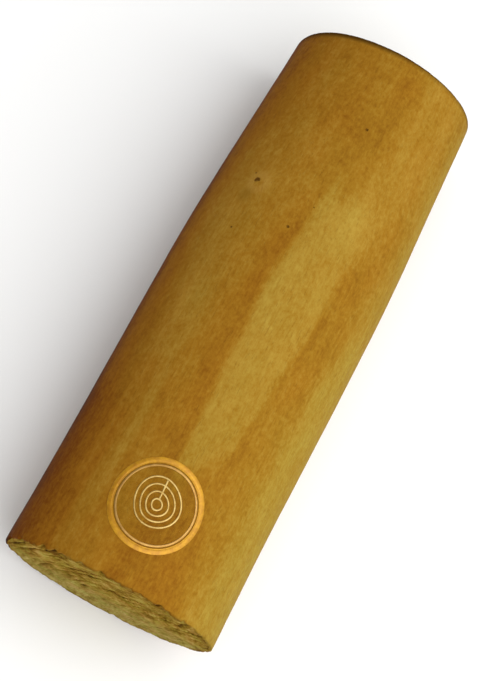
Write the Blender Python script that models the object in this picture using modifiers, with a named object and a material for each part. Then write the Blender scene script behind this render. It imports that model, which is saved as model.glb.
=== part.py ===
"""Wooden roller massager: one solid smoothed log that is rolled under or over the body, with a thin
round label wrapped onto its upper side.

The log lies along X, its wide sawn end at -X and its narrow sawn end at +X. A narrow straight flat runs
along its underside, and it rests on that flat at z = 0. The origin is under the middle of the log, and
everything is in metres.
"""

import math

import bmesh
import bpy

COLLECTION_NAME = "wooden_roller_massager"

# Log
LENGTH = 0.305
BODY_RADIUS = 0.0557
WIDE_END_FLARE = 0.0010  # extra radius at the wide end, as a trunk swells towards its butt
FLARE_LENGTH = 0.076
TAPER_SLOPE = 0.05  # radius lost per unit of length in the tapered stretch
TAPER_START_X = 0.037
TAPER_BLEND = 0.024  # how gently the straight stretch turns into the tapered one
SECTION_CORNERS = 48
REST_FLAT_HALF_ANGLE = math.radians(360 / SECTION_CORNERS)
BODY_STATIONS = 16

# Worn arrises round the two sawn ends
WIDE_ARRIS = 0.0014
NARROW_ARRIS_SMALL = 0.0012  # on the -Y side
NARROW_ARRIS_LARGE = 0.0022  # on the +Y side, which is more worn
ARRIS_STEPS = 4

# Label on the upper side, near the wide end
LABEL_CENTRE_X = -0.1117
FILM_RADIUS = 0.0232
RIM_OUTER_RADIUS = 0.0232
RIM_INNER_RADIUS = 0.0203
PINSTRIPE_OUTER_RADIUS = 0.0197
PINSTRIPE_INNER_RADIUS = 0.0186
EMBLEM_RING_RADII = (0.0026, 0.0056, 0.0086, 0.0116)
EMBLEM_RING_WIDTH = 0.0008
EMBLEM_RING_DRIFT = 0.12  # how far off centre each ring lies, as a share of its radius
EMBLEM_OVALITY = 0.05
EMBLEM_WAVINESS = 0.03
EMBLEM_RAY_SEGMENTS = 1  # segments of the ray that joins the emblem's rings
SHEET_THICKNESS = 0.0002
SHEET_GAP = 0.0003  # clear space under each sheet of the label
SHEET_SEGMENTS = 64
FILM_RING_COUNT = 4

# Colours, linear RGB
WOOD_COLOUR = (0.36, 0.19, 0.035, 1.0)
FILM_COLOUR = (0.30, 0.16, 0.025, 1.0)
GOLD_COLOUR = (0.83, 0.48, 0.03, 1.0)
ROSE_COLOUR = (0.80, 0.50, 0.32, 1.0)
EMBLEM_COLOUR = (0.86, 0.62, 0.20, 1.0)


def clear_scene():
    """Remove every object of the startup scene."""
    for obj in list(bpy.data.objects):
        bpy.data.objects.remove(obj, do_unlink=True)


def make_collection(name):
    """Create a collection in the scene and return it."""
    collection = bpy.data.collections.new(name)
    bpy.context.scene.collection.children.link(collection)
    return collection


def make_material(name, colour, roughness, metallic=0.0):
    """Create a Principled material of one colour."""
    material = bpy.data.materials.new(name)
    material.use_nodes = True
    shader = material.node_tree.nodes["Principled BSDF"]
    shader.inputs["Base Color"].default_value = colour
    shader.inputs["Roughness"].default_value = roughness
    shader.inputs["Metallic"].default_value = metallic
    material.diffuse_color = colour
    return material


def log_radius(x):
    """Radius of the log's round section at x: a slight flare, a long straight part, then a taper."""
    flare = max(0.0, 1 - (x + LENGTH / 2) / FLARE_LENGTH) ** 2
    past_start = x - TAPER_START_X
    tapered_length = (past_start + math.hypot(past_start, TAPER_BLEND)) / 2
    return BODY_RADIUS + WIDE_END_FLARE * flare - TAPER_SLOPE * tapered_length


def log_point(x, angle, lift=0.0):
    """Point at this lift above the log's round surface. The angle runs from the top towards +Y.

    The section's centre stands where the two corners beside the underside's flat are at z = 0.
    """
    radius = log_radius(x)
    centre_z = radius * math.cos(REST_FLAT_HALF_ANGLE)
    reach = radius + lift
    return (x, reach * math.sin(angle), centre_z + reach * math.cos(angle))


def section_angles():
    """Angles of the section's corners. The corner at the very bottom is left out, which makes the flat."""
    step = 2 * math.pi / SECTION_CORNERS
    corners = range(-SECTION_CORNERS // 2 + 1, SECTION_CORNERS // 2)
    return [corner * step for corner in corners]


def narrow_arris(angle):
    """Radius of the narrow end's worn arris, which grows from the -Y side to the +Y side."""
    share = (1 + math.sin(angle)) / 2
    return NARROW_ARRIS_SMALL + (NARROW_ARRIS_LARGE - NARROW_ARRIS_SMALL) * share


def arris_turns():
    """Angles round the quarter circle of an arris, from the log's side (0) to its end face."""
    return [math.pi / 2 * step / ARRIS_STEPS for step in range(ARRIS_STEPS + 1)]


def log_rings():
    """Rings of points from the wide end face, along the log's side, to the narrow end face."""
    angles = section_angles()
    rings = []
    for turn in reversed(arris_turns()):
        x = -LENGTH / 2 + WIDE_ARRIS * (1 - math.sin(turn))
        sink = WIDE_ARRIS * (1 - math.cos(turn))
        rings.append([log_point(x, angle, -sink) for angle in angles])
    for station in range(1, BODY_STATIONS):
        ring = []
        for angle in angles:
            start = -LENGTH / 2 + WIDE_ARRIS
            end = LENGTH / 2 - narrow_arris(angle)
            ring.append(log_point(start + (end - start) * station / BODY_STATIONS, angle))
        rings.append(ring)
    for turn in arris_turns():
        ring = []
        for angle in angles:
            arris = narrow_arris(angle)
            x = LENGTH / 2 - arris * (1 - math.sin(turn))
            ring.append(log_point(x, angle, -arris * (1 - math.cos(turn))))
        rings.append(ring)
    return rings


def add_object(name, bm, material, collection):
    """Turn a bmesh into a named object with its material."""
    mesh = bpy.data.meshes.new(name)
    bm.to_mesh(mesh)
    bm.free()
    mesh.materials.append(material)
    obj = bpy.data.objects.new(name, mesh)
    collection.objects.link(obj)
    return obj


def shade_round(obj):
    """Shade smooth, but keep corners such as the sawn ends' rims crisp."""
    obj.data.shade_smooth()
    obj.data.set_sharp_from_angle(angle=math.radians(35))


def make_log(material, collection):
    """Loft the solid log through its rings and close it with the two sawn end faces."""
    bm = bmesh.new()
    rings = [[bm.verts.new(point) for point in ring] for ring in log_rings()]
    count = len(rings[0])
    for near, far in zip(rings, rings[1:]):
        for corner in range(count):
            following = (corner + 1) % count
            bm.faces.new((near[corner], near[following], far[following], far[corner]))
    bm.faces.new(rings[0])
    bm.faces.new(rings[-1])
    bmesh.ops.recalc_face_normals(bm, faces=bm.faces)
    obj = add_object("roller_log", bm, material, collection)
    shade_round(obj)
    return obj


def wrapped_point(radius, turn, lift):
    """Point of a flat round sheet, given in polar form, once it is wrapped round the log."""
    x = LABEL_CENTRE_X + radius * math.cos(turn)
    angle = radius * math.sin(turn) / log_radius(LABEL_CENTRE_X)
    return log_point(x, angle, lift)


def add_band(bm, inner, outer, segments):
    """Add one row of faces between two circles of points, over the given segments."""
    for segment in segments:
        following = (segment + 1) % SHEET_SEGMENTS
        bm.faces.new((inner[segment], outer[segment], outer[following], inner[following]))


def sheet_turns():
    """Polar angles of a sheet's corners. Turn 0 points along +X."""
    return [2 * math.pi * segment / SHEET_SEGMENTS for segment in range(SHEET_SEGMENTS)]


def circle_of_points(bm, radius, lift):
    """One full circle of points, wrapped round the log."""
    return [bm.verts.new(wrapped_point(radius, turn, lift)) for turn in sheet_turns()]


def growth_ring_of_points(bm, ring_radius, offset, lift):
    """One closed line like a growth ring, slightly oval, wavy and off centre, wrapped round the log."""
    points = []
    for turn in sheet_turns():
        oval = EMBLEM_OVALITY * math.sin(2 * turn + 0.6)
        wave = EMBLEM_WAVINESS * math.sin(3 * turn)
        drift = EMBLEM_RING_DRIFT * math.cos(turn)
        radius = ring_radius * (1 + oval + wave + drift) + offset
        points.append(bm.verts.new(wrapped_point(radius, turn, lift)))
    return points


def finish_sheet(name, bm, material, collection):
    """Give an open wrapped sheet its thickness, outwards."""
    bmesh.ops.recalc_face_normals(bm, faces=bm.faces)
    face = max(bm.faces, key=lambda candidate: candidate.calc_center_median().z)
    if face.normal.z < 0:
        bmesh.ops.reverse_faces(bm, faces=bm.faces)
    obj = add_object(name, bm, material, collection)
    solidify = obj.modifiers.new("thickness", "SOLIDIFY")
    solidify.thickness = SHEET_THICKNESS
    solidify.offset = 1.0
    shade_round(obj)
    return obj


def make_disc(name, radius, lift, material, collection):
    """A full round sheet wrapped on the log."""
    bm = bmesh.new()
    circles = []
    for ring in range(1, FILM_RING_COUNT + 1):
        circles.append(circle_of_points(bm, radius * ring / FILM_RING_COUNT, lift))
    middle = bm.verts.new(wrapped_point(0.0, 0.0, lift))
    for segment in range(SHEET_SEGMENTS):
        following = (segment + 1) % SHEET_SEGMENTS
        bm.faces.new((middle, circles[0][segment], circles[0][following]))
    for inner, outer in zip(circles, circles[1:]):
        add_band(bm, inner, outer, range(SHEET_SEGMENTS))
    return finish_sheet(name, bm, material, collection)


def make_ring(name, inner_radius, outer_radius, lift, material, collection):
    """A flat ring wrapped on the log."""
    bm = bmesh.new()
    inner = circle_of_points(bm, inner_radius, lift)
    outer = circle_of_points(bm, outer_radius, lift)
    add_band(bm, inner, outer, range(SHEET_SEGMENTS))
    return finish_sheet(name, bm, material, collection)


def make_emblem(name, lift, material, collection):
    """A plain picture of a log's end: growth rings joined by one straight ray, as one sheet."""
    bm = bmesh.new()
    ray = range(EMBLEM_RAY_SEGMENTS)
    previous_outer = None
    for radius in EMBLEM_RING_RADII:
        inner = growth_ring_of_points(bm, radius, -EMBLEM_RING_WIDTH / 2, lift)
        outer = growth_ring_of_points(bm, radius, EMBLEM_RING_WIDTH / 2, lift)
        add_band(bm, inner, outer, range(SHEET_SEGMENTS))
        if previous_outer is not None:
            add_band(bm, previous_outer, inner, ray)
        previous_outer = outer
    return finish_sheet(name, bm, material, collection)


def build():
    """Build the log and its label."""
    clear_scene()
    parts = make_collection(COLLECTION_NAME)
    wood = make_material("oiled_wood", WOOD_COLOUR, 0.45)
    film = make_material("clear_film", FILM_COLOUR, 0.25)
    gold = make_material("gold_foil", GOLD_COLOUR, 0.30, 1.0)
    rose = make_material("rose_foil", ROSE_COLOUR, 0.35, 1.0)
    emblem = make_material("emblem_foil", EMBLEM_COLOUR, 0.35, 1.0)
    film_lift = SHEET_GAP
    print_lift = film_lift + SHEET_THICKNESS + SHEET_GAP
    make_log(wood, parts)
    make_disc("label_film", FILM_RADIUS, film_lift, film, parts)
    make_ring("label_rim", RIM_INNER_RADIUS, RIM_OUTER_RADIUS, print_lift, gold, parts)
    make_ring(
        "label_pinstripe", PINSTRIPE_INNER_RADIUS, PINSTRIPE_OUTER_RADIUS, print_lift, rose, parts
    )
    make_emblem("label_emblem", print_lift, emblem, parts)


build()
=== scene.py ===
"""Looks of the wooden roller massager: a solid oiled log with raw sawn ends and a thin foil label.

The log lies along X, its wide end at -X. Sizes are in metres unless a name says otherwise. Angles round
the log run from its top towards -Y, the side that the main light comes from.
"""

import math
from collections import namedtuple

import bpy
from mathutils import Matrix, Vector, noise


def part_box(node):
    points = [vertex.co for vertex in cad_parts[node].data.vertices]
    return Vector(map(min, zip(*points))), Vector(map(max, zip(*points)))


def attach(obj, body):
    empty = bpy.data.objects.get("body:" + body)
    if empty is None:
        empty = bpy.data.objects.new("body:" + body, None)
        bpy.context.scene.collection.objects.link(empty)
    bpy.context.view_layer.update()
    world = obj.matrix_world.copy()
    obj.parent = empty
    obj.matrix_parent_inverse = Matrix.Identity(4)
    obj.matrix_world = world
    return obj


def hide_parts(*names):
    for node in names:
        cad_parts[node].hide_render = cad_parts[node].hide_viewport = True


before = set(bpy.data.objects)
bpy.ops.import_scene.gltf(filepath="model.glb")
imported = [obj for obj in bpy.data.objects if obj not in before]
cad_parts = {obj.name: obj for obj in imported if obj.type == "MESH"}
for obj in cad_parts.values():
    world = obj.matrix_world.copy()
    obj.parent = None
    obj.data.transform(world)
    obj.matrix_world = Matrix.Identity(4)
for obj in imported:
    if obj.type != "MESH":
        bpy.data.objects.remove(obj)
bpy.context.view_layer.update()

# ---------------------------------------------------------------------------------------------------
# The log's own shape. It is the CAD's, except that the wide arris is a little smaller.

BODY_RADIUS = 0.0557
WIDE_END_FLARE = 0.0010
FLARE_LENGTH = 0.076
TAPER_SLOPE = 0.05
TAPER_START_X = 0.037
TAPER_BLEND = 0.024
REST_FLAT_HALF_ANGLE = math.radians(7.5)
WIDE_ARRIS = 0.0012
NARROW_ARRIS_SMALL = 0.0012
NARROW_ARRIS_LARGE = 0.0022

LOG_LOW, LOG_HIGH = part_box("roller_log")
WIDE_X = LOG_LOW.x
NARROW_X = LOG_HIGH.x
LABEL_LOW, LABEL_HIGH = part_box("label_rim")
LABEL_X = (LABEL_LOW.x + LABEL_HIGH.x) / 2
LABEL_RADIUS = (LABEL_HIGH.x - LABEL_LOW.x) / 2

# Fineness of the log's mesh
AROUND = 300
SIDE_ROWS = 150
ARRIS_ROWS = 5
WIDE_END_ROWS = 72
NARROW_END_ROWS = 36

# Relief and the marks on the ends
UNDULATION = 0.00022  # waviness of the side
CALM_REACH = 0.02  # distance from the label over which the waviness comes back
CALM_HEIGHT = 0.075  # height above which the label calms it
KNOT_SWELL = 0.0004
KNOT_SWELL_FALL = 2.2
PITH = (0.0, 0.006, 0.052)  # middle of the growth rings on the ends
GROWTH_RING_PITCH = 0.0034
SAW_ARC_Y = -0.13  # middle of the arcs that the saw left on the ends
SAW_ARC_Z = 0.005
SAW_ARC_RADIUS = 0.14
COARSE_SAW_PITCH = 0.0052
FINE_SAW_PITCH = 0.0024
COARSE_SAW_DEPTH = 0.0012
FINE_SAW_DEPTH = 0.0002
SAW_TOOTH_RISE = 0.8  # share of a tooth of the saw marks that rises slowly
SAW_ROUGH_HEIGHTS = (0.02, 0.055)  # heights between which the saw marks grow to their full depth
SAW_LOW_SHARE = 0.3  # share of their depth below that
TORN_GRAIN_DEPTH = 0.0008
FACE_BLEND = 0.965  # share of a face's radius from which its relief blends into the rim's

# Chips of the rims: the scale of their two noises, and the level above which each breaks the wood
COARSE_CHIP_SCALE = 210
COARSE_CHIP_LEVEL = 0.10
FINE_CHIP_SCALE = 460
FINE_CHIP_LEVEL = 0.05
RIM_CHIP_DEPTH = 0.0048
RIM_CHIP_HEIGHTS = (0.03, 0.085)  # heights between which the chips grow to their full depth
RIM_CHIP_LOW_SHARE = 0.12  # share of their depth below that
RIM_CHIP_SIDE_SHARE = 0.2  # share of their depth where the rim meets the side
WIDE_CHIP_SEED = 12.0
NARROW_CHIP_SEED = 21.0
NARROW_CHIP_SHARE = 0.06  # chips of the narrow rim, as a share of the wide rim's

# Darkening of the rims: how far from its end each one starts to fade and has faded out. The wide rim's
# is wear and oil soaking. The narrow rim's is wear and painted shade along its rounded edge; it widens
# across the log, between two values of y, from the lit side to the shaded side.
WIDE_WEAR = (0.0, 0.0016)
NARROW_DARKENING_LIT = (0.0003, 0.0022)
NARROW_DARKENING_SHADED = (0.0023, 0.0052)
SHADED_SIDE_Y = (-0.03, 0.05)
WIDE_WEAR_STRENGTH = 0.5
FACE_WEAR_START = 0.90  # share of a face's radius from which it darkens towards its rim

Place = namedtuple("Place", "x y z")
Wave = namedtuple("Wave", "weight x_stretch yz_stretch scale seed")
Patch = namedtuple("Patch", "tone warmth soft_low soft_high outline")
Spot = namedtuple("Spot", "x angle radius")

# Noises that are summed: across the patches' long edges in degrees, at their ends in millimetres, in
# tone, in warmth and in the waviness of the side
EDGE_WAVES = (Wave(2.4, 1.0, 0.6, 26, 3.1), Wave(1.0, 1.0, 2.0, 80, 7.7))
PATCH_END_WAVES = (Wave(12, 0.4, 2.5, 60, 11.0),)
TONE_WAVES = (Wave(0.08, 0.30, 1.0, 30, 1.3), Wave(0.11, 0.45, 1.0, 90, 5.9))
WARMTH_WAVES = (Wave(0.20, 0.35, 1.0, 24, 9.2), Wave(0.25, 0.6, 1.0, 100, 4.6))
SIDE_WAVES = (Wave(1.0, 0.5, 1.0, 34, 2.2), Wave(0.5, 0.6, 1.0, 90, 8.4))

# Noises of the sawn ends, where x is across the saw's arcs and y along them
SAW_DRIFT_WAVES = (Wave(0.5, 1.0, 0.5, 40, 4.4),)
SAW_PATCH_WAVES = (Wave(1.0, 1.4, 0.8, 60, 8.8),)
TORN_WAVES = (Wave(1.0, 2.4, 0.7, 150, 6.1), Wave(0.4, 3.0, 1.0, 380, 2.9))

# Figure of the wood, with painted light in some patches: painted shade on the flank away from the main
# light and a painted sheen on the lit flank. Each patch is a long field, lighter (tone above 0) or
# darker, and redder (warmth above 0) or more olive. Its outline lists where along the log it is, in
# millimetres, and the two angles that it lies between there, in degrees. The soft values say how
# blurred its two long edges are.
END_FADE = 24  # millimetres over which a patch fades at its two ends
PATCHES = (
    # the light flame in the middle
    Patch(0.40, -0.3, 3.0, 7.0, (
        (84, 10, 18), (56, -1, 28), (20, -4, 29), (-30, -3.5, 26), (-66, -1, 20), (-100, 2, 14),
    )),
    # its continuation to the narrow end
    Patch(0.28, 0.0, 8.0, 10.0, ((166, 24, 54), (105, 22, 54), (60, 12, 38), (34, 6, 30))),
    # dark streak that bounds the flame on the shaded side
    Patch(-0.26, 0.25, 9.0, 3.6, (
        (58, -9, -3), (20, -15, -4), (-30, -19, -4), (-66, -17, -2), (-104, -13, 0),
    )),
    # red streaks near the narrow end
    Patch(-0.15, 0.2, 6.0, 8.0, ((160, 8, 22), (130, 6, 20), (104, 1, 12), (84, 0, 8))),
    Patch(-0.18, 0.2, 5.0, 8.0, ((128, -20, -10), (100, -22, -8), (80, -18, -10))),
    # red blotch and dark line beyond the flame
    Patch(-0.10, -0.1, 6.0, 10.0, ((44, 34, 46), (22, 31, 54), (0, 27, 48), (-30, 25, 34))),
    Patch(-0.26, 0.1, 3.0, 4.0, ((24, 28, 34), (-30, 25, 29), (-62, 21, 26), (-92, 18, 24))),
    # the shaded flank: redder wood, and darker as painted shade
    Patch(-0.55, 0.9, 26.0, 17.0, (
        (180, -112, -60), (100, -112, -63), (40, -112, -66),
        (-20, -112, -63), (-90, -112, -59), (-180, -112, -55),
    )),
    # painted shade: a darker band low on that flank, with a darker core, along its dark edge
    Patch(-0.80, 0.2, 24.0, 11.0, ((180, -108, -79), (0, -108, -78), (-180, -108, -77))),
    Patch(-0.35, 0.1, 14.0, 6.0, ((180, -104, -87), (0, -104, -86), (-180, -104, -86))),
    # redder wood above that band
    Patch(0.0, 0.55, 10.0, 8.0, ((180, -66, -36), (0, -66, -38), (-180, -66, -36))),
    # the flank at the wide end: redder, and darker as painted shade
    Patch(-0.26, 0.5, 14.0, 9.0, ((-56, -84, -46), (-100, -84, -43), (-185, -84, -41))),
    # a little lighter and warmer between the flank and the flame
    Patch(0.14, 0.25, 10.0, 9.0, ((180, -42, -4), (0, -42, -8), (-180, -42, -6))),
    # paler olive area in the middle of the shaded side
    Patch(0.20, -0.15, 8.0, 9.0, (
        (100, -52, -34), (60, -58, -34), (20, -58, -32), (-14, -50, -30), (-50, -44, -30),
    )),
    # browner area near the narrow end
    Patch(-0.08, 0.05, 10.0, 12.0, ((168, -56, 2), (120, -52, -2), (84, -30, -4))),
    # painted sheen: a paler, more olive flank on the lit side
    Patch(0.25, -0.65, 14.0, 14.0, (
        (170, 58, 104), (60, 57, 104), (0, 50, 102), (-90, 40, 100), (-180, 42, 100),
    )),
    Patch(0.20, -0.1, 10.0, 14.0, ((24, 54, 104), (-60, 50, 102), (-170, 52, 100))),
    # warm brown below the label
    Patch(-0.30, 0.3, 14.0, 12.0, ((-84, -8, 10), (-116, -12, 26), (-170, -14, 34))),
    # faint axial streaks near the wide end
    Patch(0.22, 0.0, 2.0, 2.0, ((-10, -31, -28), (-80, -31, -27), (-130, -29, -26))),
    Patch(-0.2, 0.2, 2.0, 2.5, ((-40, -25, -21), (-100, -26, -21), (-160, -25, -21))),
    Patch(-0.22, 0.25, 2.0, 2.0, ((-60, -40, -37), (-110, -41, -37), (-170, -40, -36))),
    # small olive blotch in the flame
    Patch(-0.45, -0.2, 2.2, 2.2, ((-6, 9, 11), (-17, 8.5, 11.5), (-28, 9, 11))),
    # the far side, which only other views show
    Patch(0.5, -0.2, 3.0, 8.0, ((120, 128, 146), (60, 122, 150), (-20, 124, 146), (-90, 130, 140))),
    Patch(-0.35, 0.4, 6.0, 4.0, (
        (140, -140, -122), (40, -146, -118), (-60, -142, -120), (-140, -136, -124),
    )),
    Patch(-0.3, 0.3, 6.0, 6.0, ((90, 158, 176), (0, 156, 178), (-110, 160, 174))),
)

# Insect pinholes: place along the log in millimetres, angle in degrees and radius in millimetres
PINHOLES = (
    Spot(39.7, -8.6, 0.80),
    Spot(29.0, -36.0, 0.60),
    Spot(54.8, -1.6, 0.45),
    Spot(105.5, 3.6, 0.80),
    Spot(18.0, 112.0, 0.70),
    Spot(-64.0, -128.0, 0.75),
    Spot(88.0, 151.0, 0.60),
)

KNOT_X_MM = 57.5
KNOT_ANGLE = -36.5
KNOT_REACH = 0.013  # how far the grain bends round the pin knot
KNOT_PULL = 0.6
GRAIN_WAVER = 0.006
HOLE_RAGGEDNESS = 0.00035

# ---------------------------------------------------------------------------------------------------
# The label

LABEL_SEGMENTS = 180
FILM_LIFT = 0.00004
FILM_THICKNESS = 0.00006
FILM_INSET = 0.0002
FILM_RINGS = 10
FOIL_LIFT = FILM_LIFT + FILM_THICKNESS
FOIL_EDGE = 0.00005
RIM_WIDTH = 0.0029
RIM_HEIGHT = 0.00024
PINSTRIPE_RADIUS = 0.01915
PINSTRIPE_WIDTH = 0.0011
PINSTRIPE_HEIGHT = 0.00016
EMBLEM_RING_RADII = (0.0026, 0.0056, 0.0086, 0.0116)
EMBLEM_RING_WIDTH = 0.0008
EMBLEM_HEIGHT = 0.00014
EMBLEM_OVAL = 0.05  # shares of a ring's radius by which it is oval, wavy and off centre
EMBLEM_WAVE = 0.03
EMBLEM_DRIFT = 0.12
EMBLEM_RAY_TURN = 0.05
EMBLEM_RAY_STEPS = 12

# ---------------------------------------------------------------------------------------------------
# The stage, the lights and the camera

FLOOR_HALF = 6.0
WORLD_STRENGTH = 0.52
WORLD_LEAN = 0.55  # share by which the surroundings are brighter on the lit side and darker opposite
LIGHT_TARGET = (0.0, 0.0, 0.05)
KEY_PLACE = (-0.3, -0.9, 1.5)
KEY_SIZE = 1.8
KEY_POWER = 24.0
TOP_PLACE = (0.1, -0.1, 1.8)
TOP_SIZE = 1.6
TOP_POWER = 9.0

# The camera's place from the log's middle and its directions, each along the log, up and to the side
CAMERA_PLACE = (-0.3083, 0.9996, 0.0052)
CAMERA_RIGHT = (0.4562, 0.1299, 0.8803)
CAMERA_UP = (0.8418, 0.2578, -0.4743)
CAMERA_LENS = 109.45
CAMERA_SENSOR = 36.0

# ---------------------------------------------------------------------------------------------------
# Shape helpers


def log_radius(x):
    """Radius of the round section at x."""
    flare = max(0.0, 1 - (x - WIDE_X) / FLARE_LENGTH) ** 2
    past_start = x - TAPER_START_X
    tapered_length = (past_start + math.hypot(past_start, TAPER_BLEND)) / 2
    return BODY_RADIUS + WIDE_END_FLARE * flare - TAPER_SLOPE * tapered_length


def centre_z(x):
    """Height of the section's centre."""
    return log_radius(x) * math.cos(REST_FLAT_HALF_ANGLE)


def surface_point(x, angle, lift=0.0):
    """Point at this lift above the log's round surface. The angle is in radians."""
    reach = log_radius(x) + lift
    return Vector((x, -reach * math.sin(angle), centre_z(x) + reach * math.cos(angle)))


def smooth_step(low, high, value):
    """0 below low, 1 above high, and a smooth rise between."""
    share = min(1.0, max(0.0, (value - low) / (high - low)))
    return share * share * (3 - 2 * share)


def noise_at(point, scale, seed=0.0):
    """Signed smooth noise, about -1 to 1."""
    return noise.noise(Vector(point) * scale + Vector((seed, seed * 1.7, -seed)))


def waves_at(point, waves):
    """Sum of several noises, each with its own weight, stretches, scale and seed."""
    total = 0.0
    for wave in waves:
        stretched = (point.x * wave.x_stretch, point.y * wave.yz_stretch, point.z * wave.yz_stretch)
        total += wave.weight * noise_at(stretched, wave.scale, wave.seed)
    return total


def sawtooth(value):
    """A row of teeth, each rising slowly from 0 to 1 and then dropping fast."""
    share = value - math.floor(value)
    if share < SAW_TOOTH_RISE:
        return share / SAW_TOOTH_RISE
    return (1 - share) / (1 - SAW_TOOTH_RISE)


# ---------------------------------------------------------------------------------------------------
# Figure of the wood, with painted shade and sheen


def outline_at(patch, x_mm):
    """The patch's two angles at x and how strongly it shows there, or None past its ends."""
    points = patch.outline
    if not points[-1][0] < x_mm < points[0][0]:
        return None
    for (x_a, low_a, high_a), (x_b, low_b, high_b) in zip(points, points[1:]):
        if x_b <= x_mm <= x_a:
            share = (x_a - x_mm) / (x_a - x_b)
            low = low_a + (low_b - low_a) * share
            high = high_a + (high_b - high_a) * share
            from_end = min(points[0][0] - x_mm, x_mm - points[-1][0])
            return low, high, smooth_step(0, END_FADE, from_end)
    return None


def figure_and_painted_light_at(point, angle_deg):
    """(tone, warmth) of the wood at one point of the side, with painted shade and sheen in the tone."""
    x_mm = point.x * 1000 + waves_at(point, PATCH_END_WAVES)
    angle = angle_deg + waves_at(point, EDGE_WAVES)
    tone = waves_at(point, TONE_WAVES)
    warmth = waves_at(point, WARMTH_WAVES)
    for patch in PATCHES:
        found = outline_at(patch, x_mm)
        if found is None:
            continue
        low, high, share = found
        rise = smooth_step(low - patch.soft_low, low + patch.soft_low, angle)
        fall = 1 - smooth_step(high - patch.soft_high, high + patch.soft_high, angle)
        strength = share * rise * fall
        tone += patch.tone * strength
        warmth += patch.warmth * strength
    return tone, warmth


# ---------------------------------------------------------------------------------------------------
# The log's mesh


def side_relief(point, x):
    """Slight hand-worked waviness of the side, which dies out at the label, so that it lies flat."""
    on_top = smooth_step(0.0, CALM_REACH, point.z - CALM_HEIGHT)
    near_label = 1 - smooth_step(LABEL_RADIUS, LABEL_RADIUS + CALM_REACH, abs(x - LABEL_X))
    return UNDULATION * waves_at(point, SIDE_WAVES) * (1 - on_top * near_label)


def knot_place(along=0.0, turn_deg=0.0):
    """Place on the log this far along it and round it from the middle of the pin knot."""
    return surface_point(KNOT_X_MM / 1000 + along, math.radians(KNOT_ANGLE + turn_deg))


def knot_relief(point):
    """Low swelling round the pin knot."""
    reach = (point - knot_place()).length / KNOT_REACH
    return KNOT_SWELL * math.exp(-KNOT_SWELL_FALL * reach * reach)


def saw_relief(y, z):
    """Depth of the sawn surface below its highest crests. It is rough above and smoother below."""
    across = math.hypot(y - SAW_ARC_Y, z - SAW_ARC_Z)
    along = SAW_ARC_RADIUS * math.atan2(z - SAW_ARC_Z, y - SAW_ARC_Y)
    place = Place(across, along, 0.0)
    drift = waves_at(place, SAW_DRIFT_WAVES)
    patchy = smooth_step(-0.35, 0.25, waves_at(place, SAW_PATCH_WAVES))
    patchy *= SAW_LOW_SHARE + (1 - SAW_LOW_SHARE) * smooth_step(*SAW_ROUGH_HEIGHTS, z)
    coarse = sawtooth(across / COARSE_SAW_PITCH + drift) * patchy
    fine = sawtooth(across / FINE_SAW_PITCH + 2 * drift) * patchy
    torn = sum(max(0.0, waves_at(place, [wave])) for wave in TORN_WAVES)
    return COARSE_SAW_DEPTH * coarse + FINE_SAW_DEPTH * fine + TORN_GRAIN_DEPTH * torn ** 1.5


def rim_chip(point, seed):
    """How far the rim is broken away at this point, farther above than below."""
    coarse = max(0.0, noise_at(point, COARSE_CHIP_SCALE, seed) - COARSE_CHIP_LEVEL)
    fine = max(0.0, noise_at(point, FINE_CHIP_SCALE, seed + 3) - FINE_CHIP_LEVEL)
    share = RIM_CHIP_LOW_SHARE + (1 - RIM_CHIP_LOW_SHARE) * smooth_step(*RIM_CHIP_HEIGHTS, point.z)
    return RIM_CHIP_DEPTH * share * (coarse + fine / 2)


def narrow_arris(angle):
    """Radius of the narrow end's worn arris, larger on the shaded side."""
    shaded = (1 - math.sin(angle)) / 2
    return NARROW_ARRIS_SMALL + (NARROW_ARRIS_LARGE - NARROW_ARRIS_SMALL) * shaded


def end_arris(end, angle):
    """Radius of the arris of an end, -1 for the wide one and 1 for the narrow one."""
    return WIDE_ARRIS if end < 0 else narrow_arris(angle)


def side_point(x, angle):
    """Point of the worked side, with its waviness, flattened where the log rests."""
    plain = surface_point(x, angle)
    lift = side_relief(plain, x) + knot_relief(plain)
    point = surface_point(x, angle, lift)
    point.z = max(point.z, 0.0)
    return point


def rim_point(end, turn, angle):
    """Point of the rounded arris at an end. Turn 0 is at the side and 90 degrees at the end face."""
    arris = end_arris(end, angle)
    end_x = WIDE_X if end < 0 else NARROW_X
    x = end_x - end * arris * (1 - math.sin(turn))
    side = side_point(x, angle)
    if end < 0:
        chip = rim_chip(side, WIDE_CHIP_SEED) + saw_relief(side.y, side.z)
    else:
        chip = NARROW_CHIP_SHARE * rim_chip(side, NARROW_CHIP_SEED)
    chip *= RIM_CHIP_SIDE_SHARE + (1 - RIM_CHIP_SIDE_SHARE) * math.sin(turn)
    sink = arris * (1 - math.cos(turn)) + chip / 2
    centre = Vector((x, 0.0, centre_z(x)))
    outward = (side - centre).normalized()
    point = side - outward * sink
    point.x -= end * chip
    point.z = max(point.z, 0.0)
    return point


def end_point(end, share, angle):
    """Point of a sawn end face. Share 1 is at the rim's inner edge and 0 at the middle."""
    rim = rim_point(end, math.pi / 2, angle)
    end_x = WIDE_X if end < 0 else NARROW_X
    middle = Vector((end_x, 0.0, centre_z(end_x)))
    point = middle.lerp(rim, share)
    depth = saw_relief(point.y, point.z)
    fade = 1 - smooth_step(FACE_BLEND, 1.0, share)
    sunk = end_x - end * depth
    point.x = sunk * fade + rim.x * (1 - fade)
    return point


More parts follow.
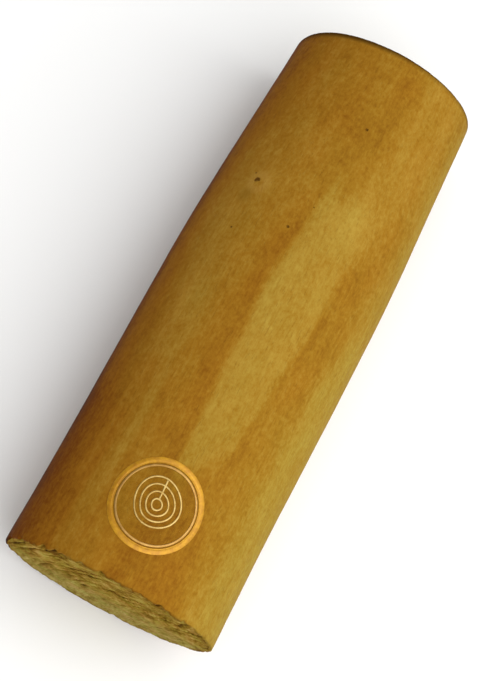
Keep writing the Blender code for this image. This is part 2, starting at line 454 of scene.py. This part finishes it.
def log_rows():
    """Rows of points from the middle of the wide end, along the side, to the middle of the narrow one.

    Each row is (kind, points), and the kind is end, rim or side.
    """
    angles = [2 * math.pi * step / AROUND for step in range(AROUND)]
    turns = [math.pi / 2 * step / ARRIS_ROWS for step in range(ARRIS_ROWS + 1)]
    rows = []
    for row in range(1, WIDE_END_ROWS):
        share = row / WIDE_END_ROWS
        rows.append(("end", [end_point(-1, share, angle) for angle in angles]))
    for turn in reversed(turns):
        rows.append(("rim", [rim_point(-1, turn, angle) for angle in angles]))
    for row in range(1, SIDE_ROWS):
        share = row / SIDE_ROWS
        points = []
        for angle in angles:
            start = WIDE_X + end_arris(-1, angle)
            stop = NARROW_X - end_arris(1, angle)
            points.append(side_point(start + (stop - start) * share, angle))
        rows.append(("side", points))
    for turn in turns:
        rows.append(("rim", [rim_point(1, turn, angle) for angle in angles]))
    for row in range(NARROW_END_ROWS - 1, 0, -1):
        share = row / NARROW_END_ROWS
        rows.append(("end", [end_point(1, share, angle) for angle in angles]))
    return rows


def make_log(side_material, end_material):
    """The whole log as one closed mesh, with its figure and painted light stored on its points."""
    rows = log_rows()
    middles = (
        Vector((WIDE_X + COARSE_SAW_DEPTH / 2, 0.0, centre_z(WIDE_X))),
        Vector((NARROW_X - COARSE_SAW_DEPTH / 2, 0.0, centre_z(NARROW_X))),
    )
    points = [point for _, row in rows for point in row] + list(middles)
    first_middle = len(points) - 2
    last_middle = len(points) - 1
    columns = [(column, (column + 1) % AROUND) for column in range(AROUND)]
    faces = [(first_middle, following, column) for column, following in columns]
    slots = [1] * AROUND
    for row in range(len(rows) - 1):
        on_end = rows[row][0] == "end" or rows[row + 1][0] == "end"
        low = row * AROUND
        high = low + AROUND
        for column, following in columns:
            faces.append((low + column, low + following, high + following, high + column))
            slots.append(1 if on_end else 0)
    last_row = (len(rows) - 1) * AROUND
    for column, following in columns:
        faces.append((last_row + column, last_row + following, last_middle))
        slots.append(1)
    log = make_object("oiled_log", points, faces, side_material, end_material)
    log.data.polygons.foreach_set("material_index", slots)
    store_figure_and_painted_light(log.data, rows)
    return log


def rim_wear_and_shade(kind, point):
    """How worn and soaked the wood is, by how near it is to a rim; at the narrow rim this is also
    painted shade.
    """
    if kind == "end":
        reach = math.hypot(point.y, point.z - centre_z(point.x)) / log_radius(point.x)
        return smooth_step(FACE_WEAR_START, 1.0, reach)
    shaded = smooth_step(*SHADED_SIDE_Y, point.y)
    start, stop = (
        lit + (shady - lit) * shaded for lit, shady in zip(NARROW_DARKENING_LIT, NARROW_DARKENING_SHADED)
    )
    at_narrow = 1 - smooth_step(start, stop, NARROW_X - point.x)
    at_wide = 1 - smooth_step(*WIDE_WEAR, point.x - WIDE_X)
    return max(at_narrow, WIDE_WEAR_STRENGTH * at_wide)


def store_figure_and_painted_light(mesh, rows):
    """Store tone, warmth, rim wear and saw grooves on the log's points, for its materials.

    Tone holds painted shade and sheen besides the figure, and rim wear holds painted shade too.
    """
    figure = {"tone": [], "warmth": [], "rim": [], "groove": []}
    for kind, row in rows:
        for column, point in enumerate(row):
            angle_deg = (column * 360 / AROUND + 180) % 360 - 180
            tone, warmth = (0.0, 0.0) if kind == "end" else figure_and_painted_light_at(point, angle_deg)
            depth = 0.0 if kind == "side" else saw_relief(point.y, point.z)
            figure["tone"].append(tone)
            figure["warmth"].append(warmth)
            figure["rim"].append(rim_wear_and_shade(kind, point))
            figure["groove"].append(depth / (COARSE_SAW_DEPTH + FINE_SAW_DEPTH))
    at_middles = [0.0, 0.0]
    for name, values in figure.items():
        attribute = mesh.attributes.new(name, "FLOAT", "POINT")
        attribute.data.foreach_set("value", values + at_middles)


# ---------------------------------------------------------------------------------------------------
# The label's meshes


def wrapped_point(radius, turn, lift):
    """Point of the round label, given in polar form, once it is wrapped round the log."""
    x = LABEL_X + radius * math.cos(turn)
    angle = -radius * math.sin(turn) / log_radius(LABEL_X)
    return surface_point(x, angle, lift)


def domed_profile(width, height, steps):
    """(offset across, lift) pairs of a low rounded strip, from its inner edge to its outer edge."""
    profile = [(-width / 2, 0.0)]
    for step in range(steps + 1):
        share = -1 + 2 * step / steps
        rise = (1 - abs(share) ** 2.6) ** 0.5
        profile.append((share * width / 2, FOIL_EDGE + (height - FOIL_EDGE) * rise))
    profile.append((width / 2, 0.0))
    return profile


def rim_profile():
    """Profile of the gold rim: a broad rounded band, a fine groove, and a thin inner bead."""
    profile = [(-RIM_WIDTH / 2, 0.0)]
    for share, rise in (
        (-1.0, 0.20), (-0.94, 0.42), (-0.86, 0.50), (-0.78, 0.44), (-0.72, 0.22), (-0.66, 0.22),
        (-0.56, 0.66), (-0.40, 0.88), (-0.15, 1.00), (0.15, 0.98), (0.45, 0.82), (0.70, 0.58),
        (0.88, 0.34), (1.0, 0.14),
    ):
        profile.append((share * RIM_WIDTH / 2, RIM_HEIGHT * rise))
    profile.append((RIM_WIDTH / 2, 0.0))
    return profile


def make_band(name, radius_at, profile, material):
    """A closed strip with this profile, along a closed line round the label's centre."""
    points = []
    for segment in range(LABEL_SEGMENTS):
        turn = 2 * math.pi * segment / LABEL_SEGMENTS
        for offset, lift in profile:
            points.append(wrapped_point(radius_at(turn) + offset, turn, FOIL_LIFT + lift))
    faces = strip_faces(LABEL_SEGMENTS, LABEL_SEGMENTS, len(profile))
    return make_object(name, points, faces, material)


def strip_faces(stretches, rows, count):
    """Quads of this many stretches of a strip, which joins each row of count points to the next."""
    faces = []
    for row in range(stretches):
        low = row * count
        high = (row + 1) % rows * count
        for corner in range(count):
            following = (corner + 1) % count
            faces.append((low + corner, high + corner, high + following, low + following))
    return faces


def make_object(name, points, faces, *materials):
    """A smooth mesh object with these materials."""
    mesh = bpy.data.meshes.new(name)
    mesh.from_pydata(points, [], faces)
    for material in materials:
        mesh.materials.append(material)
    mesh.polygons.foreach_set("use_smooth", [True] * len(faces))
    mesh.validate()
    mesh.update()
    obj = bpy.data.objects.new(name, mesh)
    bpy.context.scene.collection.objects.link(obj)
    return obj


def make_film(material):
    """The label's clear film: a thin disc wrapped on the log."""
    points = [wrapped_point(0.0, 0.0, FOIL_LIFT), wrapped_point(0.0, 0.0, FILM_LIFT)]
    for ring in range(1, FILM_RINGS + 1):
        radius = (LABEL_RADIUS - FILM_INSET) * ring / FILM_RINGS
        for segment in range(LABEL_SEGMENTS):
            turn = 2 * math.pi * segment / LABEL_SEGMENTS
            points.append(wrapped_point(radius, turn, FOIL_LIFT))
            points.append(wrapped_point(radius, turn, FILM_LIFT))
    faces = []
    for segment in range(LABEL_SEGMENTS):
        following = (segment + 1) % LABEL_SEGMENTS
        for side in (0, 1):
            corners = (side, 2 + 2 * segment + side, 2 + 2 * following + side)
            faces.append(corners if side == 0 else corners[::-1])
        for ring in range(FILM_RINGS - 1):
            low = 2 + 2 * LABEL_SEGMENTS * ring
            high = low + 2 * LABEL_SEGMENTS
            for side in (0, 1):
                corners = (
                    low + 2 * segment + side,
                    high + 2 * segment + side,
                    high + 2 * following + side,
                    low + 2 * following + side,
                )
                faces.append(corners if side == 0 else corners[::-1])
        edge = 2 + 2 * LABEL_SEGMENTS * (FILM_RINGS - 1)
        here = edge + 2 * segment
        there = edge + 2 * following
        faces.append((here, here + 1, there + 1, there))
    return make_object("label_clear_film", points, faces, material)


def growth_ring_radius(ring_radius):
    """Radius of one emblem ring as a function of the turn, slightly oval, wavy and off centre."""

    def radius_at(turn):
        oval = EMBLEM_OVAL * math.sin(2 * turn + 0.6)
        wave = EMBLEM_WAVE * math.sin(3 * turn)
        drift = EMBLEM_DRIFT * math.cos(turn)
        return ring_radius * (1 + oval + wave + drift)

    return radius_at


def make_emblem_ray(material):
    """The straight ray that crosses the emblem's rings, like a drying crack in a log's end."""
    profile = domed_profile(EMBLEM_RING_WIDTH, EMBLEM_HEIGHT, 4)
    start = growth_ring_radius(EMBLEM_RING_RADII[0])(0.0)
    stop = growth_ring_radius(EMBLEM_RING_RADII[-1])(0.0)
    points = []
    for step in range(EMBLEM_RAY_STEPS + 1):
        reach = start + (stop - start) * step / EMBLEM_RAY_STEPS
        for offset, lift in profile:
            radius = math.hypot(reach, offset)
            turn = math.atan2(offset, reach) + EMBLEM_RAY_TURN
            points.append(wrapped_point(radius, turn, FOIL_LIFT + lift))
    count = len(profile)
    caps = [tuple(range(count)), tuple(range(len(points) - 1, len(points) - 1 - count, -1))]
    faces = caps + strip_faces(EMBLEM_RAY_STEPS, EMBLEM_RAY_STEPS + 1, count)
    return make_object("emblem_ray", points, faces, material)


# ---------------------------------------------------------------------------------------------------
# Materials


def srgb(red, green, blue):
    """Linear colour with full alpha, from display values of 0 to 255."""
    linear = []
    for value in (red, green, blue):
        share = value / 255
        linear.append(share / 12.92 if share <= 0.04045 else ((share + 0.055) / 1.055) ** 2.4)
    return (*linear, 1.0)


class Nodes:
    """Builds one material's node tree with short calls that return output sockets."""

    def __init__(self, name):
        self.material = bpy.data.materials.new(name)
        self.material.use_nodes = True
        self.tree = self.material.node_tree
        self.shader = self.tree.nodes["Principled BSDF"]
        self.object_coords = self.tree.nodes.new("ShaderNodeTexCoord").outputs["Object"]

    def feed(self, socket, value):
        """Link a socket or set a plain value on it."""
        if isinstance(value, bpy.types.NodeSocket):
            self.tree.links.new(value, socket)
        else:
            socket.default_value = value

    def attribute(self, name):
        """A number stored on the mesh's points."""
        node = self.tree.nodes.new("ShaderNodeAttribute")
        node.attribute_name = name
        return node.outputs["Fac"]

    def math(self, operation, first, second=0.0, clamp=False):
        """Arithmetic on two numbers."""
        node = self.tree.nodes.new("ShaderNodeMath")
        node.operation = operation
        node.use_clamp = clamp
        self.feed(node.inputs[0], first)
        self.feed(node.inputs[1], second)
        return node.outputs[0]

    def times(self, first, second):
        """Product of two numbers."""
        return self.math("MULTIPLY", first, second)

    def plus(self, first, second, clamp=False):
        """Sum of two numbers."""
        return self.math("ADD", first, second, clamp)

    def minus(self, first, second, clamp=False):
        """Difference of two numbers."""
        return self.math("SUBTRACT", first, second, clamp)

    def add_fields(self, level, *fields):
        """Add (field, weight) pairs to a level. Each field counts from its middle value, 0.5."""
        for field, weight in fields:
            level = self.plus(level, self.times(self.minus(field, 0.5), weight))
        return level

    def vector(self, operation, first, second=(0.0, 0.0, 0.0), scale=None):
        """Arithmetic on two vectors."""
        node = self.tree.nodes.new("ShaderNodeVectorMath")
        node.operation = operation
        self.feed(node.inputs[0], first)
        self.feed(node.inputs[1], second)
        if scale is not None:
            self.feed(node.inputs["Scale"], scale)
        return node.outputs["Value" if operation in ("DISTANCE", "LENGTH") else "Vector"]

    def noise(self, coords, scale, detail=3.0, roughness=0.5, distortion=0.0):
        """Noise from 0 to 1. A scale of three numbers stretches it differently on each axis."""
        if isinstance(scale, tuple):
            mapping = self.tree.nodes.new("ShaderNodeMapping")
            self.feed(mapping.inputs["Vector"], coords)
            mapping.inputs["Scale"].default_value = scale
            coords = mapping.outputs["Vector"]
            scale = 1.0
        node = self.tree.nodes.new("ShaderNodeTexNoise")
        self.feed(node.inputs["Vector"], coords)
        node.inputs["Scale"].default_value = scale
        node.inputs["Detail"].default_value = detail
        node.inputs["Roughness"].default_value = roughness
        node.inputs["Distortion"].default_value = distortion
        return node.outputs["Fac"]

    def cells(self, coords, scale):
        """Distance to the nearest of many scattered points."""
        node = self.tree.nodes.new("ShaderNodeTexVoronoi")
        self.feed(node.inputs["Vector"], coords)
        node.inputs["Scale"].default_value = scale
        return node.outputs["Distance"]

    def remap(self, value, low, high, new_low=0.0, new_high=1.0):
        """Map a range of numbers smoothly to another, clamped."""
        node = self.tree.nodes.new("ShaderNodeMapRange")
        node.interpolation_type = "SMOOTHSTEP"
        self.feed(node.inputs["Value"], value)
        node.inputs["From Min"].default_value = low
        node.inputs["From Max"].default_value = high
        node.inputs["To Min"].default_value = new_low
        node.inputs["To Max"].default_value = new_high
        return node.outputs["Result"]

    def ramp(self, value, stops):
        """Colour ramp from (position, colour) stops."""
        node = self.tree.nodes.new("ShaderNodeValToRGB")
        self.feed(node.inputs["Fac"], value)
        elements = node.color_ramp.elements
        while len(elements) > 1:
            elements.remove(elements[-1])
        elements[0].position, elements[0].color = stops[0]
        for position, colour in stops[1:]:
            element = elements.new(position)
            element.color = colour
        return node.outputs["Color"]

    def mix(self, share, first, second, blend="MIX"):
        """Mix of two colours."""
        node = self.tree.nodes.new("ShaderNodeMix")
        node.data_type = "RGBA"
        node.blend_type = blend
        self.feed(node.inputs[0], share)
        self.feed(node.inputs[6], first)
        self.feed(node.inputs[7], second)
        return node.outputs[2]

    def bump(self, height, distance, strength=1.0, normal=None):
        """Surface relief from a height of 0 to 1 that stands for this distance in metres."""
        node = self.tree.nodes.new("ShaderNodeBump")
        node.inputs["Strength"].default_value = strength
        node.inputs["Distance"].default_value = distance
        self.feed(node.inputs["Height"], height)
        if normal is not None:
            self.feed(node.inputs["Normal"], normal)
        return node.outputs["Normal"]


def grain_coords(nodes):
    """Object coordinates bent round the pin knot and gently wavering, for grain to follow."""
    away = nodes.vector("SUBTRACT", nodes.object_coords, tuple(knot_place()))
    reach = nodes.vector("LENGTH", away)
    pull = nodes.remap(reach, 0.0, KNOT_REACH, KNOT_PULL, 0.0)
    bent = nodes.vector("ADD", nodes.object_coords, nodes.vector("SCALE", away, scale=pull))
    waver = nodes.noise(bent, (14, 30, 30), 2.0)
    shift = nodes.times(nodes.minus(waver, 0.5), GRAIN_WAVER)
    return nodes.vector("ADD", bent, nodes.vector("SCALE", (0.0, 1.0, 1.0), scale=shift))


def pinhole_mask(nodes):
    """1 inside the insect pinholes and 0 outside."""
    total = 0.0
    ragged = nodes.noise(nodes.object_coords, 2600, 2.0)
    for spot in PINHOLES:
        centre = surface_point(spot.x / 1000, math.radians(spot.angle))
        reach = nodes.vector("DISTANCE", nodes.object_coords, tuple(centre))
        reach = nodes.plus(reach, nodes.times(ragged, HOLE_RAGGEDNESS))
        radius = spot.radius / 1000
        inside = nodes.remap(reach, radius * 0.75, radius * 1.3, 1.0, 0.0)
        total = nodes.math("MAXIMUM", inside, total)
    return total


def knot_masks(nodes):
    """(dark crescent, pale halo, olive patch) of the pin knot."""
    ragged = nodes.times(nodes.noise(nodes.object_coords, 900, 3.0), 0.0012)

    def distance_to(along, turn_deg):
        """Ragged distance to a place this far along the log and round it from the knot's middle."""
        place = knot_place(along, turn_deg)
        return nodes.plus(nodes.vector("DISTANCE", nodes.object_coords, tuple(place)), ragged)

    outer = nodes.remap(distance_to(-0.0004, 0.0), 0.0019, 0.0026, 1.0, 0.0)
    inner = nodes.remap(distance_to(-0.0023, 0.6), 0.0018, 0.0026, 1.0, 0.0)
    crescent = nodes.minus(outer, inner, clamp=True)
    side_mark = nodes.remap(distance_to(0.0036, -3.2), 0.0007, 0.0015, 0.8, 0.0)
    dark = nodes.math("MAXIMUM", crescent, side_mark)
    far = distance_to(-0.0014, 1.5)
    halo_starts = nodes.remap(far, 0.0022, 0.0040)
    halo_ends = nodes.remap(far, 0.0050, 0.0090, 1.0, 0.0)
    halo = nodes.times(halo_starts, halo_ends)
    olive = nodes.remap(distance_to(-0.0095, -2.0), 0.0020, 0.0070, 1.0, 0.0)
    return dark, halo, olive


def oiled_wood():
    """Oiled side wood: patchy figure, axial streaks, fine fibres and pores, a pin knot and pinholes.

    The figure's tone holds painted shade and sheen; the rims' darkening and the pinholes hold painted
    shade.
    """
    nodes = Nodes("oiled_wood")
    coords = grain_coords(nodes)
    broad = nodes.noise(coords, (9, 150, 150), 4.0, 0.55)
    fibre = nodes.noise(coords, (26, 760, 760), 3.0, 0.6)
    hair = nodes.noise(coords, (60, 2400, 2400), 2.0, 0.6)
    mottle = nodes.noise(coords, (150, 150, 150), 3.0, 0.55, 0.6)
    ripple = nodes.noise(coords, (420, 90, 90), 2.0, 0.5, 0.4)
    fleck = nodes.noise(coords, (380, 520, 520), 4.0, 0.7)
    pore_field = nodes.noise(coords, (170, 3000, 3000), 1.0)
    pores = nodes.remap(pore_field, 0.66, 0.74)

    dark, halo, olive = knot_masks(nodes)
    # tone holds the figure, plus painted shade on the shaded flank and a painted sheen on the lit one
    level = nodes.plus(nodes.times(nodes.attribute("tone"), 0.30), 0.5)
    level = nodes.add_fields(level, (broad, 0.14), (fibre, 0.14), (hair, 0.12))
    level = nodes.add_fields(level, (mottle, 0.20), (ripple, 0.05), (fleck, 0.44))
    colour = nodes.ramp(
        level,
        (
            (0.0, srgb(62, 30, 6)),
            (0.25, srgb(118, 70, 15)),
            (0.5, srgb(151, 109, 31)),
            (0.75, srgb(172, 139, 58)),
            (1.0, srgb(190, 161, 84)),
        ),
    )
    warm = nodes.plus(nodes.times(nodes.attribute("warmth"), 0.5), 0.5, clamp=True)
    tint = nodes.mix(warm, srgb(240, 255, 252), srgb(255, 234, 216))
    colour = nodes.mix(1.0, colour, tint, "MULTIPLY")
    colour = nodes.mix(nodes.times(pores, 0.35), colour, srgb(92, 56, 16))

    holes = pinhole_mask(nodes)
    colour = nodes.mix(nodes.times(halo, 0.20), colour, srgb(190, 152, 78))
    colour = nodes.mix(nodes.times(olive, 0.35), colour, srgb(118, 84, 18))
    colour = nodes.mix(nodes.times(dark, 0.85), colour, srgb(74, 40, 8))
    # painted shade inside the pinholes, which are only a shallow bump
    colour = nodes.mix(nodes.times(holes, 0.80), colour, srgb(78, 46, 12))
    # darker rims: wear and oil soaking, and painted shade along the narrow rim's rounded edge
    rim_darkening = nodes.times(nodes.attribute("rim"), 0.85)
    colour = nodes.mix(rim_darkening, colour, srgb(58, 36, 10))
    nodes.feed(nodes.shader.inputs["Base Color"], colour)

    polish = nodes.plus(nodes.times(mottle, 0.16), nodes.times(fibre, 0.10))
    roughness = nodes.plus(polish, nodes.times(nodes.attribute("rim"), 0.15))
    nodes.feed(nodes.shader.inputs["Roughness"], nodes.plus(roughness, 0.36))
    # A low IOR keeps a pale haze off the edges that are seen at a glancing angle
    nodes.shader.inputs["IOR"].default_value = 1.04

    grain = nodes.plus(nodes.times(fibre, 0.6), nodes.times(hair, 0.25))
    grain = nodes.minus(grain, nodes.times(pores, 0.5))
    normal = nodes.bump(grain, 0.00008)
    normal = nodes.bump(mottle, 0.0004, 0.5, normal)
    pits = nodes.minus(1.0, nodes.math("MAXIMUM", holes, nodes.times(dark, 0.6)))
    normal = nodes.bump(pits, 0.0005, 1.0, normal)
    nodes.feed(nodes.shader.inputs["Normal"], normal)
    return nodes.material


def sawn_wood():
    """Raw end grain: faint growth rings under saw marks, darker at the oil-soaked rim."""
    nodes = Nodes("sawn_end_grain")
    position = nodes.object_coords
    from_pith = nodes.vector("SUBTRACT", position, PITH)
    flat = nodes.vector("MULTIPLY", from_pith, (0.0, 1.0, 1.0))
    waver = nodes.noise(flat, (60, 60, 60), 3.0)
    reach = nodes.vector("LENGTH", flat)
    reach = nodes.plus(reach, nodes.times(waver, 0.009))
    rings = nodes.math("SINE", nodes.times(reach, 2 * math.pi / GROWTH_RING_PITCH))
    rings = nodes.times(nodes.plus(rings, 1.0), 0.5)

    split = nodes.tree.nodes.new("ShaderNodeSeparateXYZ")
    nodes.feed(split.inputs[0], position)
    arc_y = nodes.minus(split.outputs["Y"], SAW_ARC_Y)
    arc_z = nodes.minus(split.outputs["Z"], SAW_ARC_Z)
    turn = nodes.math("ARCTAN2", arc_z, arc_y)
    squares = nodes.plus(nodes.times(arc_y, arc_y), nodes.times(arc_z, arc_z))
    join = nodes.tree.nodes.new("ShaderNodeCombineXYZ")
    nodes.feed(join.inputs["X"], nodes.math("SQRT", squares))
    nodes.feed(join.inputs["Y"], nodes.times(turn, SAW_ARC_RADIUS))
    saw_coords = join.outputs[0]
    strokes = nodes.noise(saw_coords, (200, 62, 0), 4.0, 0.62, 0.3)
    scores = nodes.noise(saw_coords, (640, 130, 0), 3.0, 0.65)
    fuzz = nodes.noise(flat, (900, 900, 900), 3.0, 0.65)
    blotch = nodes.noise(flat, (70, 70, 70), 3.0, 0.6)
    groove = nodes.remap(nodes.attribute("groove"), 0.25, 1.1, 0.0, 1.0)

    # painted shade: the deeper the saw groove, the darker the end grain is painted
    marks = nodes.times(groove, -0.54)
    marks = nodes.add_fields(marks, (strokes, 1.3), (scores, 0.9), (fuzz, 0.4))
    marks = nodes.add_fields(marks, (blotch, 0.4), (rings, 0.10))
    bolder_above = nodes.remap(split.outputs["Z"], 0.04, 0.09, 0.9, 1.45)
    level = nodes.plus(nodes.times(marks, bolder_above), 0.63)
    low_colour = nodes.ramp(
        level,
        (
            (0.0, srgb(70, 54, 18)),
            (0.28, srgb(114, 94, 36)),
            (0.5, srgb(145, 124, 56)),
            (0.75, srgb(168, 150, 80)),
            (1.0, srgb(190, 172, 106)),
        ),
    )
    high_colour = nodes.ramp(
        level,
        (
            (0.0, srgb(60, 38, 8)),
            (0.28, srgb(108, 78, 20)),
            (0.5, srgb(140, 110, 36)),
            (0.75, srgb(164, 136, 56)),
            (1.0, srgb(186, 160, 82)),
        ),
    )
    stained = nodes.remap(split.outputs["Y"], -0.055, 0.015, 0.12, 0.0)
    level = nodes.minus(level, stained)
    height_share = nodes.plus(split.outputs["Z"], nodes.times(blotch, 0.03))
    colour = nodes.mix(nodes.remap(height_share, 0.04, 0.085), low_colour, high_colour)
    hue = nodes.remap(nodes.noise(flat, 130, 2.0, 0.5), 0.35, 0.65)
    tint = nodes.mix(hue, srgb(246, 255, 240), srgb(255, 242, 248))
    colour = nodes.mix(1.0, colour, tint, "MULTIPLY")
    soaked = nodes.times(nodes.attribute("rim"), 0.45)
    colour = nodes.mix(soaked, colour, srgb(104, 74, 24))
    specks = nodes.remap(nodes.noise(flat, 260, 2.0, 0.5), 0.56, 0.66)
    chips = nodes.times(specks, nodes.attribute("rim"))
    colour = nodes.mix(nodes.times(chips, 0.7), colour, srgb(56, 40, 14))
    nodes.feed(nodes.shader.inputs["Base Color"], colour)
    nodes.shader.inputs["Roughness"].default_value = 0.9
    nodes.shader.inputs["IOR"].default_value = 1.05
    height = nodes.plus(nodes.times(scores, 0.6), nodes.times(fuzz, 0.5))
    normal = nodes.bump(height, 0.0008)
    nodes.feed(nodes.shader.inputs["Normal"], normal)
    return nodes.material


def foil(name, dark, light, roughness, metallic):
    """Metallic print with slight wear and a fine brushed crinkle."""
    nodes = Nodes(name)
    wear = nodes.noise(nodes.object_coords, 320, 4.0, 0.6)
    crinkle = nodes.noise(nodes.object_coords, 1500, 2.0, 0.5)
    colour = nodes.mix(nodes.remap(wear, 0.3, 0.7), dark, light)
    nodes.feed(nodes.shader.inputs["Base Color"], colour)
    nodes.shader.inputs["Metallic"].default_value = metallic
    varied = nodes.plus(nodes.times(wear, 0.22), roughness - 0.11)
    nodes.feed(nodes.shader.inputs["Roughness"], varied)
    nodes.feed(nodes.shader.inputs["Normal"], nodes.bump(crinkle, 0.00004, 0.6))
    return nodes.material


def clear_film():
    """Thin amber-tinted film with faint waves and dust."""
    nodes = Nodes("clear_film")
    cloud = nodes.noise(nodes.object_coords, 180, 3.0)
    dust = nodes.remap(nodes.cells(nodes.object_coords, 900), 0.05, 0.16, 1.0, 0.0)
    colour = nodes.mix(cloud, srgb(104, 80, 8), srgb(124, 96, 14))
    colour = nodes.mix(nodes.times(dust, 0.2), colour, srgb(190, 160, 90))
    nodes.feed(nodes.shader.inputs["Base Color"], colour)
    alpha = nodes.plus(nodes.times(cloud, 0.05), 0.015)
    nodes.feed(nodes.shader.inputs["Alpha"], alpha)
    nodes.shader.inputs["Roughness"].default_value = 0.4
    nodes.shader.inputs["IOR"].default_value = 1.15
    nodes.feed(nodes.shader.inputs["Normal"], nodes.bump(cloud, 0.0001, 0.5))
    return nodes.material


def pale_floor():
    """Plain pale floor with a barely visible unevenness."""
    nodes = Nodes("pale_floor")
    cloud = nodes.noise(nodes.object_coords, 3.0, 3.0)
    colour = nodes.mix(cloud, srgb(244, 244, 243), srgb(248, 248, 247))
    nodes.feed(nodes.shader.inputs["Base Color"], colour)
    nodes.shader.inputs["Roughness"].default_value = 0.9
    nodes.shader.inputs["Specular IOR Level"].default_value = 0.1
    return nodes.material


# ---------------------------------------------------------------------------------------------------
# Stage, light and camera


def make_floor():
    """Large pale floor."""
    corners = [(-1, -1), (1, -1), (1, 1), (-1, 1)]
    points = [(x * FLOOR_HALF, y * FLOOR_HALF, 0.0) for x, y in corners]
    floor = make_object("floor", points, [(0, 1, 2, 3)], pale_floor())


def make_area_light(name, location, size, power):
    """Soft square light aimed at the log."""
    data = bpy.data.lights.new(name, "AREA")
    data.shape = "SQUARE"
    data.size = size
    data.energy = power
    light = bpy.data.objects.new(name, data)
    bpy.context.scene.collection.objects.link(light)
    light.location = location
    aim = Vector(LIGHT_TARGET) - Vector(location)
    light.rotation_euler = aim.to_track_quat("-Z", "Y").to_euler()


def make_world():
    """White surroundings, brighter towards the lit side."""
    world = bpy.data.worlds.new("studio")
    world.use_nodes = True
    tree = world.node_tree
    background = tree.nodes["Background"]
    background.inputs["Color"].default_value = (1.0, 1.0, 1.0, 1.0)
    direction = tree.nodes.new("ShaderNodeTexCoord").outputs["Generated"]
    split = tree.nodes.new("ShaderNodeSeparateXYZ")
    tree.links.new(direction, split.inputs[0])
    brightness = tree.nodes.new("ShaderNodeMapRange")
    tree.links.new(split.outputs["Y"], brightness.inputs["Value"])
    brightness.inputs["From Min"].default_value = -1.0
    brightness.inputs["From Max"].default_value = 1.0
    brightness.inputs["To Min"].default_value = WORLD_STRENGTH * (1 + WORLD_LEAN)
    brightness.inputs["To Max"].default_value = WORLD_STRENGTH * (1 - WORLD_LEAN)
    tree.links.new(brightness.outputs["Result"], background.inputs["Strength"])
    bpy.context.scene.world = world


def make_camera():
    """Camera looking down on the log, a little from its wide end, rolled so that it lies aslant."""
    wide_middle = Vector((WIDE_X, 0.0, centre_z(WIDE_X)))
    narrow_middle = Vector((NARROW_X, 0.0, centre_z(NARROW_X)))
    along = (narrow_middle - wide_middle).normalized()
    side = Vector((0.0, -1.0, 0.0))
    up = side.cross(along)
    middle = (wide_middle + narrow_middle) / 2

    def in_scene(parts):
        """Turn parts along the log, up and to the side into a direction in the scene."""
        return along * parts[0] + up * parts[1] + side * parts[2]

    right = in_scene(CAMERA_RIGHT).normalized()
    above = in_scene(CAMERA_UP)
    back = right.cross(above).normalized()
    above = back.cross(right)
    location = middle + in_scene(CAMERA_PLACE)
    data = bpy.data.cameras.new("camera")
    data.lens = CAMERA_LENS
    data.sensor_width = CAMERA_SENSOR
    data.clip_start = 0.05
    data.clip_end = 50.0
    camera = bpy.data.objects.new("camera", data)
    bpy.context.scene.collection.objects.link(camera)
    turn = Matrix((right, above, back)).transposed()
    camera.matrix_world = Matrix.Translation(location) @ turn.to_4x4()
    bpy.context.scene.camera = camera


def build():
    """Build the pieces, the stage, the lights and the camera."""
    log = make_log(oiled_wood(), sawn_wood())
    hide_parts("roller_log")
    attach(log, "root")

    film = make_film(clear_film())
    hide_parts("label_film")
    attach(film, "root")

    gold = foil("gold_foil", srgb(172, 116, 4), srgb(200, 146, 12), 0.44, 0.3)
    rim = make_band("label_gold_rim", lambda turn: LABEL_RADIUS - RIM_WIDTH / 2, rim_profile(), gold)
    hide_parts("label_rim")
    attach(rim, "root")

    rose = foil("rose_foil", srgb(168, 124, 58), srgb(194, 152, 82), 0.5, 0.7)
    stripe_profile = domed_profile(PINSTRIPE_WIDTH, PINSTRIPE_HEIGHT, 6)
    stripe = make_band("label_rose_stripe", lambda turn: PINSTRIPE_RADIUS, stripe_profile, rose)
    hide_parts("label_pinstripe")
    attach(stripe, "root")

    pale = foil("emblem_foil", srgb(180, 144, 72), srgb(212, 182, 110), 0.5, 0.6)
    ring_profile = domed_profile(EMBLEM_RING_WIDTH, EMBLEM_HEIGHT, 4)
    emblem_pieces = [make_emblem_ray(pale)]
    for number, radius in enumerate(EMBLEM_RING_RADII, 1):
        radius_at = growth_ring_radius(radius)
        emblem_pieces.append(make_band(f"emblem_ring_{number}", radius_at, ring_profile, pale))
    for piece in emblem_pieces:
        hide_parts("label_emblem")
        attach(piece, "root")

    make_floor()
    make_world()
    make_area_light("key", KEY_PLACE, KEY_SIZE, KEY_POWER)
    make_area_light("top", TOP_PLACE, TOP_SIZE, TOP_POWER)
    make_camera()
    bpy.context.scene.view_settings.view_transform = "Standard"


build()
